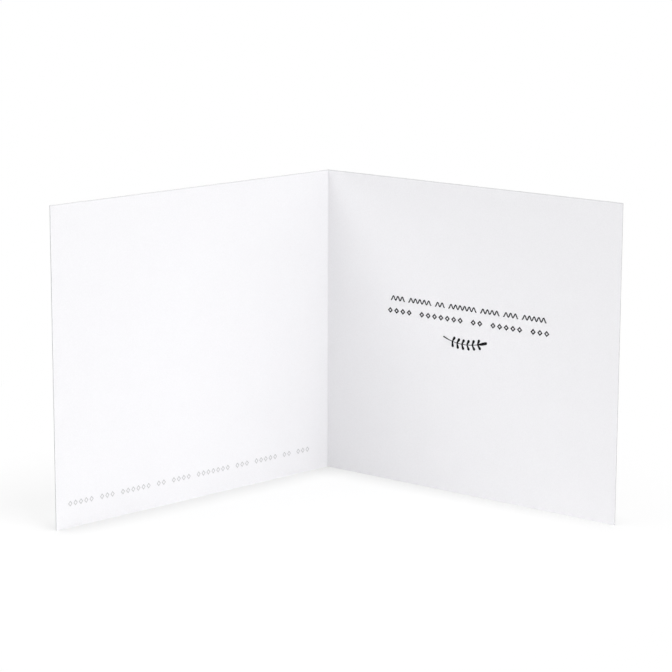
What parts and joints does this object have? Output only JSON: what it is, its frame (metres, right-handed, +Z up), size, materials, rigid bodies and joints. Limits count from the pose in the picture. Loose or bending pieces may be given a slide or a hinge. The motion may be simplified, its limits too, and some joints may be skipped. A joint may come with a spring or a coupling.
{
  "type": "greeting card",
  "caption": "Plain folded greeting card standing open on its cut edges, two flat square-cornered leaves meeting at a scored upright fold.",
  "frame": {"origin": "middle of the standing card's footprint, on the surface that it stands on", "axes": "+Z up along the fold, +Y towards the fold at the back, +X to the right seen from the open side; X = 0 is the mirror plane of the folded sheet"},
  "size_m": [0.2168, 0.0888, 0.127],
  "materials": {
    "card_stock": "matte",
    "dark_print": "matte",
    "pale_print": "matte"
  },
  "bodies": {
    "root": {"card": "card_stock"}
  },
  "joints": []
}
